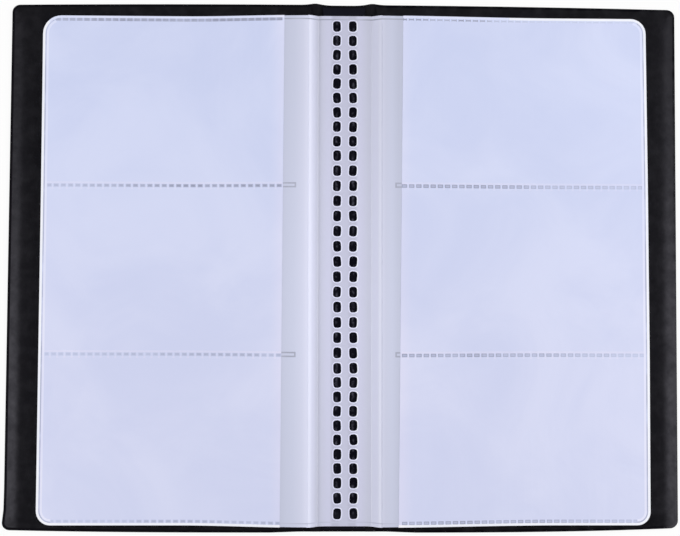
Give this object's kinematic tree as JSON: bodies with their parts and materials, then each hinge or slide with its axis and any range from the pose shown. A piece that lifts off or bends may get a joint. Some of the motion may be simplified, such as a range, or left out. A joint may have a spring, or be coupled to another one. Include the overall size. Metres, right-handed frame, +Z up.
{
  "type": "trading card album",
  "caption": "Open card album: black leatherette cover on boards, pocket leaves that turn on both sides, and a fused gutter strip with rows of punched holes.",
  "frame": {"origin": "on the table under the middle of the open cover", "axes": "+X along the open width from the front cover to the back cover, +Y to the head of the pages, +Z up"},
  "size_m": [0.2666, 0.21, 0.0064],
  "materials": {
    "leatherette": "black grained leatherette, satin",
    "lining": "black vinyl lining, fine grain",
    "grey_board": "grey board, uncoated",
    "page_sheet": "milky clear film, satin",
    "pocket_film": "milky clear film, satin",
    "gutter_film": "milky clear film, fused, satin"
  },
  "bodies": {
    "spine": {"spine_skin": "leatherette", "spine_board": "grey_board", "spine_lining": "lining", "front_hinge": "leatherette", "back_hinge": "leatherette", "gutter_strip": "gutter_film", "front_slope": "gutter_film", "back_slope": "gutter_film"},
    "front_cover": {"front_cover_skin": "leatherette", "front_cover_board": "grey_board", "front_cover_lining": "lining"},
    "front_leaf_1": {"front_leaf_1_sheet": "page_sheet", "front_leaf_1_pockets": "pocket_film"},
    "front_leaf_2": {"front_leaf_2_sheet": "page_sheet", "front_leaf_2_pockets": "pocket_film"},
    "front_leaf_3": {"front_leaf_3_sheet": "page_sheet", "front_leaf_3_pockets": "pocket_film"},
    "front_leaf_4": {"front_leaf_4_sheet": "page_sheet", "front_leaf_4_pockets": "pocket_film"},
    "front_leaf_5": {"front_leaf_5_sheet": "page_sheet", "front_leaf_5_pockets": "pocket_film"},
    "front_leaf_6": {"front_leaf_6_sheet": "page_sheet", "front_leaf_6_pockets": "pocket_film"},
    "front_leaf_7": {"front_leaf_7_sheet": "page_sheet", "front_leaf_7_pockets": "pocket_film"},
    "front_leaf_8": {"front_leaf_8_sheet": "page_sheet", "front_leaf_8_pockets": "pocket_film"},
    "front_leaf_9": {"front_leaf_9_sheet": "page_sheet", "front_leaf_9_pockets": "pocket_film"},
    "front_leaf_10": {"front_leaf_10_sheet": "page_sheet", "front_leaf_10_pockets": "pocket_film"},
    "back_cover": {"back_cover_skin": "leatherette", "back_cover_board": "grey_board", "back_cover_lining": "lining"},
    "back_leaf_1": {"back_leaf_1_sheet": "page_sheet", "back_leaf_1_pockets": "pocket_film"},
    "back_leaf_2": {"back_leaf_2_sheet": "page_sheet", "back_leaf_2_pockets": "pocket_film"},
    "back_leaf_3": {"back_leaf_3_sheet": "page_sheet", "back_leaf_3_pockets": "pocket_film"},
    "back_leaf_4": {"back_leaf_4_sheet": "page_sheet", "back_leaf_4_pockets": "pocket_film"},
    "back_leaf_5": {"back_leaf_5_sheet": "page_sheet", "back_leaf_5_pockets": "pocket_film"},
    "back_leaf_6": {"back_leaf_6_sheet": "page_sheet", "back_leaf_6_pockets": "pocket_film"},
    "back_leaf_7": {"back_leaf_7_sheet": "page_sheet", "back_leaf_7_pockets": "pocket_film"},
    "back_leaf_8": {"back_leaf_8_sheet": "page_sheet", "back_leaf_8_pockets": "pocket_film"},
    "back_leaf_9": {"back_leaf_9_sheet": "page_sheet", "back_leaf_9_pockets": "pocket_film"},
    "back_leaf_10": {"back_leaf_10_sheet": "page_sheet", "back_leaf_10_pockets": "pocket_film"}
  },
  "joints": [
    {"name": "front_cover_hinge", "type": "hinge", "parent": "spine", "child": "front_cover", "pos_m": [-0.0108, 0, 0.0005], "axis": [0, -1, 0], "range_deg": [-90, 0], "deforming": ["front_hinge", "front_slope"]},
    {"name": "front_leaf_1_turn", "type": "hinge", "parent": "front_cover", "child": "front_leaf_1", "pos_m": [-0.0143, 0, 0.0061], "axis": [0, 1, 0], "range_deg": [0, 180]},
    {"name": "front_leaf_2_turn", "type": "hinge", "parent": "front_leaf_1", "child": "front_leaf_2", "pos_m": [-0.0143, 0, 0.0061], "axis": [0, 1, 0], "range_deg": [0, 180]},
    {"name": "front_leaf_3_turn", "type": "hinge", "parent": "front_leaf_2", "child": "front_leaf_3", "pos_m": [-0.0143, 0, 0.0061], "axis": [0, 1, 0], "range_deg": [0, 180]},
    {"name": "front_leaf_4_turn", "type": "hinge", "parent": "front_leaf_3", "child": "front_leaf_4", "pos_m": [-0.0143, 0, 0.0061], "axis": [0, 1, 0], "range_deg": [0, 180]},
    {"name": "front_leaf_5_turn", "type": "hinge", "parent": "front_leaf_4", "child": "front_leaf_5", "pos_m": [-0.0143, 0, 0.0061], "axis": [0, 1, 0], "range_deg": [0, 180]},
    {"name": "front_leaf_6_turn", "type": "hinge", "parent": "front_leaf_5", "child": "front_leaf_6", "pos_m": [-0.0143, 0, 0.0061], "axis": [0, 1, 0], "range_deg": [0, 180]},
    {"name": "front_leaf_7_turn", "type": "hinge", "parent": "front_leaf_6", "child": "front_leaf_7", "pos_m": [-0.0143, 0, 0.0061], "axis": [0, 1, 0], "range_deg": [0, 180]},
    {"name": "front_leaf_8_turn", "type": "hinge", "parent": "front_leaf_7", "child": "front_leaf_8", "pos_m": [-0.0143, 0, 0.0061], "axis": [0, 1, 0], "range_deg": [0, 180]},
    {"name": "front_leaf_9_turn", "type": "hinge", "parent": "front_leaf_8", "child": "front_leaf_9", "pos_m": [-0.0143, 0, 0.0061], "axis": [0, 1, 0], "range_deg": [0, 180]},
    {"name": "front_leaf_10_turn", "type": "hinge", "parent": "front_leaf_9", "child": "front_leaf_10", "pos_m": [-0.0143, 0, 0.0061], "axis": [0, 1, 0], "range_deg": [0, 180]},
    {"name": "back_cover_hinge", "type": "hinge", "parent": "spine", "child": "back_cover", "pos_m": [0.0108, 0, 0.0005], "axis": [0, 1, 0], "range_deg": [-90, 0], "deforming": ["back_hinge", "back_slope"]},
    {"name": "back_leaf_1_turn", "type": "hinge", "parent": "back_cover", "child": "back_leaf_1", "pos_m": [0.0153, 0, 0.00628], "axis": [0, -1, 0], "range_deg": [0, 180]},
    {"name": "back_leaf_2_turn", "type": "hinge", "parent": "back_leaf_1", "child": "back_leaf_2", "pos_m": [0.0153, 0, 0.00628], "axis": [0, -1, 0], "range_deg": [0, 180]},
    {"name": "back_leaf_3_turn", "type": "hinge", "parent": "back_leaf_2", "child": "back_leaf_3", "pos_m": [0.0153, 0, 0.00628], "axis": [0, -1, 0], "range_deg": [0, 180]},
    {"name": "back_leaf_4_turn", "type": "hinge", "parent": "back_leaf_3", "child": "back_leaf_4", "pos_m": [0.0153, 0, 0.00628], "axis": [0, -1, 0], "range_deg": [0, 180]},
    {"name": "back_leaf_5_turn", "type": "hinge", "parent": "back_leaf_4", "child": "back_leaf_5", "pos_m": [0.0153, 0, 0.00628], "axis": [0, -1, 0], "range_deg": [0, 180]},
    {"name": "back_leaf_6_turn", "type": "hinge", "parent": "back_leaf_5", "child": "back_leaf_6", "pos_m": [0.0153, 0, 0.00628], "axis": [0, -1, 0], "range_deg": [0, 180]},
    {"name": "back_leaf_7_turn", "type": "hinge", "parent": "back_leaf_6", "child": "back_leaf_7", "pos_m": [0.0153, 0, 0.00628], "axis": [0, -1, 0], "range_deg": [0, 180]},
    {"name": "back_leaf_8_turn", "type": "hinge", "parent": "back_leaf_7", "child": "back_leaf_8", "pos_m": [0.0153, 0, 0.00628], "axis": [0, -1, 0], "range_deg": [0, 180]},
    {"name": "back_leaf_9_turn", "type": "hinge", "parent": "back_leaf_8", "child": "back_leaf_9", "pos_m": [0.0153, 0, 0.00628], "axis": [0, -1, 0], "range_deg": [0, 180]},
    {"name": "back_leaf_10_turn", "type": "hinge", "parent": "back_leaf_9", "child": "back_leaf_10", "pos_m": [0.0153, 0, 0.00628], "axis": [0, -1, 0], "range_deg": [0, 180]}
  ]
}
